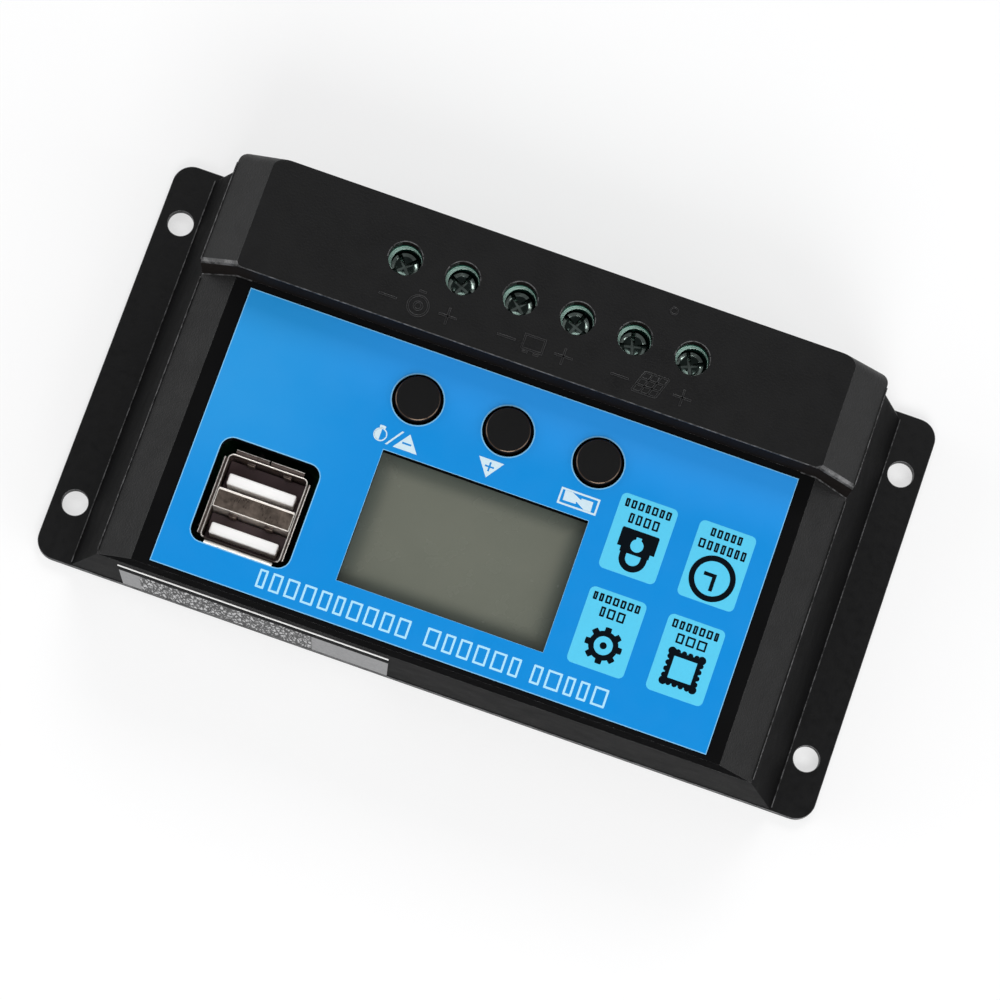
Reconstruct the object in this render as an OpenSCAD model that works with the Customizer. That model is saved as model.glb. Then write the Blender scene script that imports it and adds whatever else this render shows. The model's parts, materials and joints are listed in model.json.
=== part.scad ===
// Solar charge controller: a wall-mounted case with a raised terminal band, six
// screw terminals, a display, three push buttons and a double charging socket.
// Millimetres. The origin is the centre of the back face. +Z points out of the
// face, +X along the case towards the charging socket, and -Y towards the wires.

/* [Mounting plate] */
// Length of the plate over both ears
plate_l = 133.5; // [132:0.5:136]
// Width of the plate, which is also the width of the object
plate_w = 70; // [70:0.5:72]
// Thickness of the plate
plate_t = 1.5; // [1.2:0.1:1.8]
// Corner radius of the ears
ear_r = 3.3; // [2:0.1:4]
// Mounting hole spacing along the length
hole_pitch_x = 126; // [125:0.5:127]
// Mounting hole spacing across the width
hole_pitch_y = 50; // [40:1:54]
// Mounting hole diameter
hole_d = 4.3; // [3.5:0.1:4.5]

/* [Case] */
// Half length of the tray at its foot
foot_x = 60; // [59.5:0.1:60]
// Half length of the tray at its top edge
shoulder_x = 54.3; // [54:0.1:55]
// Height of the joint between the tray and the cover
split_z = 22; // [21.8:0.1:22.2]
// Height of the deck that carries the face label
deck_z = 28.6; // [28.6:0.1:29]
// Height of the raised terminal band
band_z = 35; // [35:0.1:35.4]
// Height at which the band's end chamfers start
band_shoulder_z = 29.6; // [29.2:0.1:30]
// Length of the chamfers at both ends of the deck and the band
chamfer_x = 6; // [5:0.1:6.5]
// Back edge of the band's roof; the back wall leans in evenly from the plate up to here
roof_back_y = -32.2; // [-32.6:0.1:-31.9]
// Y of the band's step down to the deck
band_front_y = -13.4; // [-13.6:0.1:-13.2]
// Y of the front wall
front_y = 34.8; // [34.6:0.1:34.8]
// Wall thickness of the tray and the cover
wall = 2; // [1.8:0.1:2]

/* [Face] */
// Size of the face label along X
label_l = 91.3; // [90:0.1:92]
// Size of the face label along Y
label_w = 46.2; // [45.6:0.1:46.2]
// Display window along X
window_l = 34; // [33:0.1:34.4]
// Display window along Y
window_w = 22; // [21:0.1:22.4]
// Diameter of the holes for the buttons
button_hole_d = 8.2; // [7.9:0.1:8.4]
// Diameter of the button caps
cap_d = 7.1; // [6.8:0.1:7.2]
// Distance between neighbouring buttons
button_pitch = 15; // [14.5:0.1:15.2]
// Diameter of the screwdriver holes over the terminals
driver_hole_d = 5.4; // [5.2:0.1:5.6]

/* [Hidden] */
TERMINALS = ["load_minus", "load_plus", "battery_minus", "battery_plus", "solar_minus", "solar_plus"];
BUTTONS = ["minus", "plus", "type"];
CIRCUITS = ["load", "battery", "solar"];
$fn = 48;
EPS = 0.01;
CUT = 1;

// Face layout
deck_t = 2;
label_t = 0.2;
label_x = -0.15;
label_y = 10.9;
window_x = 0.2;
window_y = 16.3;
socket_x = 33.15;
socket_y = 20;
socket_l = 16.3;
socket_w = 17.3;
socket_r = 2;
button_x0 = -0.25;
button_y = -4;

// Front sticker
sticker_x0 = 5.7;
sticker_x1 = 51;
sticker_z0 = 1.9;
sticker_z1 = 19;
sticker_t = 0.15;

// Boards
board_z = 9;
board_t = 1.6;
board_top = board_z + board_t;
board_l = 102;
board_y0 = -31;
board_y1 = 32.3;
display_board_z = 19.8;
display_board_top = display_board_z + board_t;
display_board_l = 48;
display_board_y0 = -9.8;
display_board_y1 = 31.5;
display_post_x = 21.8;
display_post_y = [-7.6, 29.3];
display_post_r = 2;
display_screw_r = 0.9;
display_screw_hole_r = 1;
display_screw_head_r = 1.7;
display_screw_head_h = 1.2;
display_screw_reach = 3.5;
header_y = -8.4;
header_pitch = 2.54;
header_count = 8;
header_h = 2.5;
header_half_w = 1.2;
header_pin_w = 0.64;
header_pin_hole_r = 0.5;
header_tail_below = 1;
header_tail_above = 0.6;

// Case screws, which clamp plate, tray, main board and cover together
boss_x = 46;
boss_y = [-26, 29.5];
boss_r = 3;
case_screw_r = 1.25;
case_screw_head_r = 2.6;
case_screw_l = 19;
case_screw_hole_r = 1.6;
screw_tip_gap = 1;
recess_l = 3;
recess_w = 0.6;
recess_depth = 0.7;
tray_floor_t = 1.5;
band_inner_inset = 1;

// Display
backlight_h = 2.6;
polariser_t = 0.2;
cell_t = 2;
cell_l = 38;
cell_w = 26;
backlight_l = 35;
backlight_w = 25;
polariser_l = 36;
polariser_w = 23;
lcd_pin_count = 14;
lcd_pin_pitch = 2.54;
lcd_pin_w = 0.4;
lcd_pin_t = 0.3;

// Buttons and switches
switch_w = 6;
switch_h = 2.5;
switch_floor_t = 0.6;
switch_bore_r = 1.85;
switch_leg = [0.8, 0.7, 0.8];
switch_leg_y = 2.25;
stem_r = 1.75;
stem_top = 24.7;
stem_l = 1.7;
cap_top = 29.8;
cap_flange_r = 4.7;
cap_flange_z = 24.9;
cap_flange_h = 1.4;

// Charging socket: a double stacked shell standing on the main board
usb_x = 33.1;
usb_y = 20.7;
usb_l = 13.2;
usb_w = 14.2;
usb_h = 17.5;
usb_wall = 0.3;
usb_port_w = 5.2;
usb_bridge_w = usb_w - 2 * usb_wall - 2 * usb_port_w;
usb_base_h = 3.4;
usb_tongue_pitch = 8.2;
usb_tongue_shift = 0.8;
usb_tongue_l = 11.1;
usb_tongue_t = 1.84;
usb_tongue_h = 12.8;
usb_contact_pitch = 2.5;
usb_contact_w = 1;
usb_contact_t = 0.25;
usb_contact_h = 10.8;

// Screw terminals
pole_pitch = 9.5;
screw_y = -23.3;
block_w = 18.9;
block_y0 = -31.4;
block_y1 = -15.4;
block_top = 32.4;
pocket_half_l = 3.7;
pocket_y0 = -27.3;
pocket_y1 = -18.2;
pocket_z0 = 12.3;
pocket_z1 = 27.2;
entry_half_l = 2.9;
entry_z0 = 14.2;
entry_z1 = 20.1;
ledge_z = 28.15;
head_bore_r = 2.6;
head_z = 28.2;
head_h = 2.2;
head_r = 2.3;
head_slot_w = 0.9;
head_slot_l = 3.4;
head_slot_depth = 1.3;
shank_r = 1.75;
shank_hole_r = 2;
shank_gap = 0.05;
bar_top = 21;
bar_t = 1;
bar_half_l = 2;
bar_y0 = -26.3;
bar_leg_y = -18.6;
bar_leg_t = 0.8;
bar_leg_half_l = 0.6;
bar_leg_bottom = 12.7;
bar_tail = 1;
leg_channel_gap = 0.2;
leg_slot_gap = 0.3;
clamp_half_l = 3.4;
clamp_wall = 1;
clamp_y0 = -26.5;
clamp_y1 = -20.1;
clamp_z = 12.6;
clamp_floor_t = 1.5;
clamp_window_h = 7.9;
clamp_top_t = 1.8;
clamp_bore_r = shank_r + 0.05;
entry_notch_half_l = 28.9;
entry_notch_z = 10.3;
entry_notch_depth = 6;
block_gap = 0.2;

// Power parts under the main board
heat_bar_l = 60;
heat_bar_y0 = -13;
heat_bar_w = 22;
heat_bar_h = 2.5;
heat_bar_gap = 1;
pad_t = 0.3;
pad_inset = 1;
pad_y_inset = 0.1;
mosfet_z = plate_t + heat_bar_h + pad_t;
mosfet_count = 4;
mosfet_pitch = 15;
mosfet_y = -7;
mosfet_l = 10;
mosfet_w = 9;
mosfet_h = 4.4;
tab_w = 5.8;
tab_t = 1.3;
tab_hole_y = -2.8;
tab_hole_r = 1.8;
leg_pitch = 2.54;
leg_half_w = 0.4;
leg_end_y = 12.4;
leg_t = 0.5;
leg_z = 2.2;

// Parts on the main board: centre on the board, then length, width and height
MICROCONTROLLER_AT = [-6, 14];
MICROCONTROLLER = [7, 7, 1.4];
POWER_CHIP_AT = [27, 0];
POWER_CHIP = [5, 4, 1.6];
DIODE_AT = [27, -8.1];
DIODE = [4.6, 2.6, 2.2];
SHUNT_AT = [-20, -5];
SHUNT = [12, 2, 3.2];
shunt_strap_t = 1;

// Standing capacitors: x, y, radius and height
CAPACITORS = [[-38, 22, 5, 13], [-38, 8, 5, 13], [39, 5, 3.15, 8]];
capacitor_rim = 0.6;
capacitor_top_t = 0.3;
INDUCTOR_AT = [38, -6, board_top];
inductor_r = 6;
inductor_h = 7;
inductor_flange_t = 1.2;
inductor_waist_r = 2.6;
winding_inset = 0.8;

function pole_x(i) = pole_pitch * (2.5 - i);
function button_x(i) = button_x0 + button_pitch * (1 - i);
function side_x(z) = foot_x - (foot_x - shoulder_x) * (z - plate_t) / (split_z - plate_t);
function back_y(z) = -plate_w / 2
    + (plate_w / 2 + roof_back_y) * (z - plate_t) / (band_z - plate_t);
function side_run() = (foot_x - shoulder_x) / (split_z - plate_t);
function wall_x() = wall * sqrt(1 + side_run() * side_run());

module rounded_rect(l, w, r) {
    square([l - 2 * r, w], center = true);
    square([l, w - 2 * r], center = true);
    for (sx = [-1, 1], sy = [-1, 1])
        translate([sx * (l / 2 - r), sy * (w / 2 - r)])
            circle(r);
}

module along_y(y0, y1) {
    translate([0, y1, 0])
        rotate([90, 0, 0])
            linear_extrude(y1 - y0)
                children();
}

module along_x(half) {
    translate([-half, 0, 0])
        rotate([90, 0, 90])
            linear_extrude(2 * half)
                children();
}

module box(x0, x1, y0, y1, z0, z1) {
    translate([x0, y0, z0])
        cube([x1 - x0, y1 - y0, z1 - z0]);
}

module at_bosses() {
    for (sx = [-1, 1], y = boss_y)
        translate([sx * boss_x, y, 0])
            children();
}

module at_display_posts() {
    for (sx = [-1, 1], y = display_post_y)
        translate([sx * display_post_x, y, 0])
            children();
}

// ---- Case ----

module mounting_plate() {
    color("#1d1d1f")
        difference() {
            linear_extrude(plate_t)
                rounded_rect(plate_l, plate_w, ear_r);
            for (sx = [-1, 1], sy = [-1, 1])
                translate([sx * hole_pitch_x / 2, sy * hole_pitch_y / 2, -CUT])
                    cylinder(d = hole_d, h = plate_t + 2 * CUT);
            at_bosses() {
                cylinder(r1 = case_screw_head_r, r2 = case_screw_r, h = plate_t);
                translate([0, 0, -CUT])
                    cylinder(r = case_screw_r, h = plate_t + 2 * CUT);
            }
        }
}

module tray_form(inset, z0, z1) {
    skew = inset * wall_x() / wall;
    intersection() {
        along_y(-plate_w, front_y - inset)
            polygon([
                [-side_x(z0) + skew, z0],
                [side_x(z0) - skew, z0],
                [side_x(z1) - skew, z1],
                [-side_x(z1) + skew, z1]
            ]);
        along_x(plate_l)
            polygon([
                [back_y(z0) + inset, z0],
                [front_y, z0],
                [front_y, z1],
                [back_y(z1) + inset, z1]
            ]);
    }
}

module tray() {
    color("#202022")
        difference() {
            union() {
                difference() {
                    tray_form(0, plate_t, split_z);
                    tray_form(wall, plate_t + tray_floor_t, split_z + CUT);
                }
                at_bosses()
                    translate([0, 0, plate_t + tray_floor_t - EPS])
                        cylinder(r = boss_r, h = board_z - plate_t - tray_floor_t + EPS);
            }
            at_bosses()
                cylinder(r = case_screw_hole_r, h = split_z);
            box(-heat_bar_l / 2 - heat_bar_gap, heat_bar_l / 2 + heat_bar_gap,
                heat_bar_y0 - heat_bar_gap, heat_bar_y0 + heat_bar_w + heat_bar_gap, 0, board_z);
            box(-entry_notch_half_l, entry_notch_half_l,
                -plate_w, -plate_w / 2 + entry_notch_depth, entry_notch_z, split_z + CUT);
        }
}

// Outline of the cover along its length: a shoulder and a narrower top, the same
// on both sides
module cover_profile(shoulder, shoulder_h, top_x, top_z, z0) {
    polygon([
        [-shoulder, z0],
        [shoulder, z0],
        [shoulder, shoulder_h],
        [top_x, top_z],
        [-top_x, top_z],
        [-shoulder, shoulder_h]
    ]);
}

// Everything in front of the leaning back wall, or of a plane that far inside it
module back_draft(inset) {
    along_x(plate_l)
        polygon([
            [back_y(0) + inset, 0],
            [plate_w, 0],
            [plate_w, band_z + CUT],
            [back_y(band_z + CUT) + inset, band_z + CUT]
        ]);
}

module cover() {
    chamfer_run = chamfer_x / (deck_z - split_z);
    inner_shoulder = shoulder_x - wall * sqrt(1 + chamfer_run * chamfer_run);
    inner_deck_x = inner_shoulder - (deck_z - deck_t - split_z) * chamfer_run;
    band_top_x = shoulder_x - chamfer_x;
    color("#1b1b1d")
        difference() {
            union() {
                difference() {
                    intersection() {
                        union() {
                            along_y(-plate_w / 2, front_y)
                                cover_profile(shoulder_x, split_z + EPS, band_top_x, deck_z, split_z);
                            along_y(-plate_w / 2, band_front_y)
                                cover_profile(shoulder_x, band_shoulder_z, band_top_x, band_z, split_z);
                        }
                        back_draft(0);
                    }
                    intersection() {
                        union() {
                            along_y(-plate_w / 2, front_y - wall)
                                cover_profile(inner_shoulder, split_z, inner_deck_x, deck_z - deck_t,
                                    split_z - CUT);
                            along_y(-plate_w / 2, band_front_y - wall)
                                cover_profile(shoulder_x - wall, band_shoulder_z - band_inner_inset,
                                    band_top_x - band_inner_inset, band_z - deck_t, split_z - CUT);
                        }
                        back_draft(wall);
                    }
                }
                at_bosses()
                    translate([0, 0, board_top])
                        cylinder(r = boss_r, h = deck_z - deck_t - board_top + EPS);
                for (sx = [-1, 1])
                    translate([sx * boss_x, boss_y[0], board_top])
                        cylinder(r = boss_r, h = band_z - deck_t - board_top + EPS);
                at_display_posts()
                    translate([0, 0, display_board_top])
                        cylinder(r = display_post_r, h = deck_z - deck_t - display_board_top + EPS);
            }
            at_bosses()
                cylinder(r = case_screw_r, h = case_screw_l + screw_tip_gap);
            at_display_posts()
                cylinder(r = display_screw_r, h = deck_z - deck_t - screw_tip_gap);
            translate([window_x, window_y, split_z])
                linear_extrude(deck_z)
                    square([window_l, window_w], center = true);
            translate([socket_x, socket_y, split_z])
                linear_extrude(deck_z)
                    rounded_rect(socket_l, socket_w, socket_r);
            for (i = [0 : 2])
                translate([button_x(i), button_y, split_z])
                    cylinder(d = button_hole_d, h = deck_z);
            for (i = [0 : 5])
                translate([pole_x(i), screw_y, split_z])
                    cylinder(d = driver_hole_d, h = band_z);
            box(-entry_notch_half_l, entry_notch_half_l,
                -plate_w, back_y(block_top) + wall + EPS, split_z - CUT, block_top + block_gap);
        }
}

module face_label() {
    color("#1e90e2")
        translate([0, 0, deck_z])
            linear_extrude(label_t)
                difference() {
                    translate([label_x, label_y])
                        square([label_l, label_w], center = true);
                    translate([window_x, window_y])
                        square([window_l, window_w], center = true);
                    translate([socket_x, socket_y])
                        rounded_rect(socket_l, socket_w, socket_r);
                    for (i = [0 : 2])
                        translate([button_x(i), button_y])
                            circle(d = button_hole_d);
                }
}

module front_sticker() {
    color("#b9bcc0")
        box(sticker_x0, sticker_x1, front_y, front_y + sticker_t, sticker_z0, sticker_z1);
}

module case_screws() {
    color("#9a9ca0")
        at_bosses() {
            difference() {
                cylinder(r1 = case_screw_head_r, r2 = case_screw_r, h = plate_t);
                for (a = [0, 90])
                    rotate([0, 0, a])
                        cube([recess_l, recess_w, 2 * recess_depth], center = true);
            }
            translate([0, 0, plate_t - EPS])
                cylinder(r = case_screw_r, h = case_screw_l - plate_t + EPS);
        }
}

// ---- Boards ----

module main_board() {
    color("#1f6b3a")
        difference() {
            box(-board_l / 2, board_l / 2, board_y0, board_y1, board_z, board_top);
            at_bosses()
                cylinder(r = case_screw_hole_r, h = board_top + CUT);
            for (i = [0 : 5])
                translate([pole_x(i), 0, 0])
                    bar_leg_space(leg_slot_gap, board_z - CUT, board_top + CUT);
            for (i = [0 : header_count - 1])
                header_pin_at(i)
                    translate([0, 0, board_z - CUT])
                        cylinder(r = header_pin_hole_r, h = board_t + 2 * CUT);
        }
}

module display_board() {
    color("#1f6b3a")
        difference() {
            box(-display_board_l / 2, display_board_l / 2, display_board_y0, display_board_y1,
                display_board_z, display_board_top);
            at_display_posts()
                translate([0, 0, display_board_z - CUT])
                    cylinder(r = display_screw_hole_r, h = board_t + 2 * CUT);
            for (i = [0 : header_count - 1])
                header_pin_at(i)
                    translate([0, 0, display_board_z - CUT])
                        cylinder(r = header_pin_hole_r, h = board_t + 2 * CUT);
        }
}

module display_screws() {
    color("#a8aaae")
        at_display_posts()
            translate([0, 0, display_board_z]) {
                translate([0, 0, -display_screw_head_h])
                    cylinder(r = display_screw_head_r, h = display_screw_head_h);
                translate([0, 0, -EPS])
                    cylinder(r = display_screw_r, h = board_t + display_screw_reach);
            }
}

module header_pin_at(i) {
    translate([(i - (header_count - 1) / 2) * header_pitch, header_y, 0])
        children();
}

module header_strips() {
    half = header_count * header_pitch / 2;
    color("#232323")
        for (z = [board_top, display_board_z - header_h])
            difference() {
                box(-half, half, header_y - header_half_w, header_y + header_half_w, z, z + header_h);
                for (i = [0 : header_count - 1])
                    header_pin_at(i)
                        translate([0, 0, z + header_h / 2])
                            cube([header_pin_w, header_pin_w, header_h + CUT], center = true);
            }
}

module header_pins() {
    pin_l = display_board_top - board_z + header_tail_below + header_tail_above;
    color("#c9a24a")
        for (i = [0 : header_count - 1])
            header_pin_at(i)
                translate([-header_pin_w / 2, -header_pin_w / 2, board_z - header_tail_below])
                    cube([header_pin_w, header_pin_w, pin_l]);
}

// ---- Display ----

module display_layer(l, w, z, h) {
    translate([window_x - l / 2, window_y - w / 2, z])
        cube([l, w, h]);
}

module lcd_backlight() {
    color("#e8ece4")
        display_layer(backlight_l, backlight_w, display_board_top, backlight_h);
}

module lcd_polarisers() {
    z = display_board_top + backlight_h;
    color("#6a6d62")
        for (lift = [0, polariser_t + cell_t])
            display_layer(polariser_l, polariser_w, z + lift, polariser_t);
}

module lcd_cell() {
    color("#9aa092")
        display_layer(cell_l, cell_w, display_board_top + backlight_h + polariser_t, cell_t);
}

module lcd_pins() {
    pin_h = backlight_h + polariser_t + cell_t;
    color("#b8b8b8")
        for (i = [0 : lcd_pin_count - 1], s = [-1, 1])
            translate([window_x + (i - (lcd_pin_count - 1) / 2) * lcd_pin_pitch,
                window_y + s * (cell_w + lcd_pin_t) / 2, display_board_top + pin_h / 2])
                cube([lcd_pin_w, lcd_pin_t, pin_h], center = true);
}

// ---- Buttons ----

module button_cap(i) {
    color("#161618")
        translate([button_x(i), button_y, 0]) {
            translate([0, 0, stem_top])
                cylinder(d = cap_d, h = cap_top - stem_top);
            translate([0, 0, cap_flange_z])
                cylinder(r = cap_flange_r, h = cap_flange_h);
        }
}

module switch_stem(i) {
    color("#8d1f1f")
        translate([button_x(i), button_y, stem_top - stem_l])
            cylinder(r = stem_r, h = stem_l);
}

module switch_bodies() {
    color("#2b2b2d")
        for (i = [0 : 2])
            difference() {
                translate([button_x(i) - switch_w / 2, button_y - switch_w / 2, display_board_top])
                    cube([switch_w, switch_w, switch_h]);
                translate([button_x(i), button_y, display_board_top + switch_floor_t])
                    cylinder(r = switch_bore_r, h = switch_h);
            }
}

module switch_legs() {
    color("#c4c6c8")
        for (i = [0 : 2], sx = [-1, 1], sy = [-1, 1])
            translate([button_x(i) + sx * (switch_w + switch_leg[0]) / 2, button_y + sy * switch_leg_y,
                display_board_top + switch_leg[2] / 2])
                cube(switch_leg, center = true);
}

// ---- Charging socket ----

module usb_at() {
    translate([usb_x, usb_y, board_top])
        children();
}

module usb_shell() {
    inner_l = usb_l - 2 * usb_wall;
    color("#b5aca2")
        usb_at()
            difference() {
                translate([-usb_l / 2, -usb_w / 2, 0])
                    cube([usb_l, usb_w, usb_h]);
                for (s = [-1, 1])
                    translate([-inner_l / 2, (s * (usb_bridge_w + usb_port_w) - usb_port_w) / 2, usb_base_h])
                        cube([inner_l, usb_port_w, usb_h]);
                translate([-inner_l / 2, -usb_w / 2 + usb_wall, -CUT])
                    cube([inner_l, usb_w - 2 * usb_wall, usb_base_h + CUT + EPS]);
                translate([-inner_l / 2, -usb_bridge_w / 2 + usb_wall, usb_base_h])
                    cube([inner_l, usb_bridge_w - 2 * usb_wall, usb_h - usb_base_h - usb_wall]);
            }
}

module usb_base() {
    color("#202020")
        usb_at()
            translate([-usb_l / 2 + usb_wall, -usb_w / 2 + usb_wall, 0])
                cube([usb_l - 2 * usb_wall, usb_w - 2 * usb_wall, usb_base_h]);
}

module at_tongues() {
    for (s = [-1, 1])
        translate([0, s * usb_tongue_pitch / 2 + usb_tongue_shift - usb_tongue_t / 2, usb_base_h])
            children();
}

module usb_tongues() {
    color("#f2f2ee")
        usb_at()
            at_tongues()
                translate([-usb_tongue_l / 2, 0, 0])
                    cube([usb_tongue_l, usb_tongue_t, usb_tongue_h]);
}

module usb_contacts() {
    color("#d3b25c")
        usb_at()
            at_tongues()
                for (i = [-1.5 : 1.5])
                    translate([i * usb_contact_pitch - usb_contact_w / 2, -usb_contact_t, 0])
                        cube([usb_contact_w, usb_contact_t, usb_contact_h]);
}

// ---- Screw terminals ----

// Space around the leg of a contact bar, with a gap on every side
module bar_leg_space(gap, z0, z1) {
    box(-bar_leg_half_l - gap, bar_leg_half_l + gap,
        bar_leg_y - bar_leg_t - gap, bar_leg_y + gap, z0, z1);
}

module terminal_block(c) {
    color("#1f5f4a")
        difference() {
            translate([pole_pitch * 2 * (1 - c) - block_w / 2, block_y0, board_top])
                cube([block_w, block_y1 - block_y0, block_top - board_top]);
            for (i = [2 * c, 2 * c + 1])
                translate([pole_x(i), 0, 0]) {
                    box(-pocket_half_l, pocket_half_l, pocket_y0, pocket_y1, pocket_z0, pocket_z1);
                    box(-entry_half_l, entry_half_l, block_y0 - CUT, pocket_y0 + EPS, entry_z0, entry_z1);
                    bar_leg_space(leg_channel_gap, board_z, pocket_z0 + EPS);
                    translate([0, screw_y, pocket_z1 - EPS])
                        cylinder(r = shank_hole_r, h = ledge_z - pocket_z1 + 2 * EPS);
                    translate([0, screw_y, ledge_z])
                        cylinder(r = head_bore_r, h = block_top);
                }
        }
}

module terminal_screw(i) {
    color("#b9bcc2")
        translate([pole_x(i), screw_y, 0])
            difference() {
                union() {
                    translate([0, 0, head_z])
                        cylinder(r = head_r, h = head_h);
                    translate([0, 0, bar_top + shank_gap])
                        cylinder(r = shank_r, h = head_z - bar_top);
                }
                for (a = [0, 90])
                    rotate([0, 0, a])
                        translate([0, 0, head_z + head_h])
                            cube([head_slot_l, head_slot_w, 2 * head_slot_depth], center = true);
            }
}

module wire_clamp(i) {
    clamp_h = clamp_floor_t + clamp_window_h + clamp_top_t;
    color("#c2c4c6")
        translate([pole_x(i), 0, 0])
            difference() {
                box(-clamp_half_l, clamp_half_l, clamp_y0, clamp_y1, clamp_z, clamp_z + clamp_h);
                box(-clamp_half_l + clamp_wall, clamp_half_l - clamp_wall, clamp_y0 - CUT, clamp_y1 + CUT,
                    clamp_z + clamp_floor_t, clamp_z + clamp_floor_t + clamp_window_h);
                translate([0, screw_y, clamp_z + clamp_floor_t])
                    cylinder(r = clamp_bore_r, h = clamp_h);
            }
}

module contact_bars() {
    color("#c7a15a")
        for (i = [0 : 5])
            translate([pole_x(i), 0, 0]) {
                box(-bar_half_l, bar_half_l, bar_y0, bar_leg_y, bar_top - bar_t, bar_top);
                box(-bar_half_l, bar_half_l, bar_leg_y - bar_leg_t, bar_leg_y, bar_leg_bottom, bar_top - EPS);
                bar_leg_space(0, board_z - bar_tail, bar_leg_bottom + EPS);
            }
}

// ---- Power parts ----

module at_mosfets() {
    for (i = [0 : mosfet_count - 1])
        translate([(i - (mosfet_count - 1) / 2) * mosfet_pitch, mosfet_y, mosfet_z])
            children();
}

module mosfets() {
    color("#252527")
        at_mosfets()
            translate([-mosfet_l / 2, 0, 0])
                cube([mosfet_l, mosfet_w, mosfet_h]);
}

module mosfet_tabs() {
    color("#b4b6ba")
        at_mosfets() {
            difference() {
                translate([-mosfet_l / 2, -tab_w, 0])
                    cube([mosfet_l, tab_w, tab_t]);
                translate([0, tab_hole_y, -CUT])
                    cylinder(r = tab_hole_r, h = tab_t + 2 * CUT);
            }
            for (x = [-leg_pitch, 0, leg_pitch]) {
                box(x - leg_half_w, x + leg_half_w, mosfet_w, leg_end_y, leg_z, leg_z + leg_t);
                box(x - leg_half_w, x + leg_half_w, leg_end_y - leg_t, leg_end_y,
                    leg_z + leg_t - EPS, board_z - mosfet_z);
            }
        }
}

module heat_bar() {
    color("#b0b3b8")
        box(-heat_bar_l / 2, heat_bar_l / 2, heat_bar_y0, heat_bar_y0 + heat_bar_w,
            plate_t, plate_t + heat_bar_h);
}

module thermal_pad() {
    color("#8fa3b5")
        box(-heat_bar_l / 2 + pad_inset, heat_bar_l / 2 - pad_inset,
            heat_bar_y0 + pad_y_inset, heat_bar_y0 + heat_bar_w - pad_inset,
            plate_t + heat_bar_h, mosfet_z);
}

module capacitors() {
    color("#1c2b52")
        for (c = CAPACITORS)
            translate([c[0], c[1], board_top])
                cylinder(r = c[2], h = c[3]);
}

module capacitor_tops() {
    color("#c8cacc")
        for (c = CAPACITORS)
            translate([c[0], c[1], board_top + c[3]])
                cylinder(r = c[2] - capacitor_rim, h = capacitor_top_t);
}

module inductor_core() {
    color("#3a3a3c")
        translate(INDUCTOR_AT) {
            cylinder(r = inductor_r, h = inductor_flange_t);
            cylinder(r = inductor_waist_r, h = inductor_h);
            translate([0, 0, inductor_h - inductor_flange_t])
                cylinder(r = inductor_r, h = inductor_flange_t);
        }
}

module inductor_winding() {
    color("#b8743a")
        translate(INDUCTOR_AT)
            translate([0, 0, inductor_flange_t])
                difference() {
                    cylinder(r = inductor_r - winding_inset, h = inductor_h - 2 * inductor_flange_t);
                    translate([0, 0, -CUT])
                        cylinder(r = inductor_waist_r, h = inductor_h);
                }
}

module on_board(at, size) {
    translate([at[0] - size[0] / 2, at[1] - size[1] / 2, board_top])
        children();
}

module microcontroller() {
    color("#1e1e20")
        on_board(MICROCONTROLLER_AT, MICROCONTROLLER)
            cube(MICROCONTROLLER);
}

module power_chip() {
    color("#1e1e20")
        on_board(POWER_CHIP_AT, POWER_CHIP)
            cube(POWER_CHIP);
}

module diode() {
    color("#1e1e20")
        on_board(DIODE_AT, DIODE)
            cube(DIODE);
}

module shunt() {
    color("#b58a5a")
        on_board(SHUNT_AT, SHUNT) {
            translate([0, 0, SHUNT[2] - shunt_strap_t])
                cube([SHUNT[0], SHUNT[1], shunt_strap_t]);
            for (x = [0, SHUNT[0] - shunt_strap_t])
                translate([x, 0, 0])
                    cube([shunt_strap_t, SHUNT[1], SHUNT[2] - shunt_strap_t + EPS]);
        }
}

mounting_plate();
tray();
cover();
face_label();
front_sticker();
case_screws();
main_board();
display_board();
display_screws();
header_strips();
header_pins();
lcd_backlight();
lcd_polarisers();
lcd_cell();
lcd_pins();
for (i = [0 : 2]) {
    button_cap(i);
    switch_stem(i);
    terminal_block(i);
}
switch_bodies();
switch_legs();
usb_shell();
usb_base();
usb_tongues();
usb_contacts();
for (i = [0 : 5]) {
    terminal_screw(i);
    wire_clamp(i);
}
contact_bars();
mosfets();
mosfet_tabs();
heat_bar();
thermal_pad();
capacitors();
capacitor_tops();
inductor_core();
inductor_winding();
microcontroller();
power_chip();
diode();
shunt();
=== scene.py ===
import json
import math
import random

import bmesh
import bpy
from mathutils import Matrix, Vector


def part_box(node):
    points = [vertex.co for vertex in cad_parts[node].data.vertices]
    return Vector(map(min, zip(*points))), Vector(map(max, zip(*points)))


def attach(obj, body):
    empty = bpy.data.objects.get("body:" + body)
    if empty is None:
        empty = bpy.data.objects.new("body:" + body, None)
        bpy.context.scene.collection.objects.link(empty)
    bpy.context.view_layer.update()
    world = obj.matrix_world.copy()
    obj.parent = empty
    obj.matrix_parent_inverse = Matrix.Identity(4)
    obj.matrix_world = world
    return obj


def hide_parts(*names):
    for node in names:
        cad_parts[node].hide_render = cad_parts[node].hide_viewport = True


# Solar charge controller: the looks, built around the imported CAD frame.
# Lengths are in millimetres until a mesh is made, when to_piece() turns them into metres.
# The camera, the lights and the floor are placed in metres.

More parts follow.
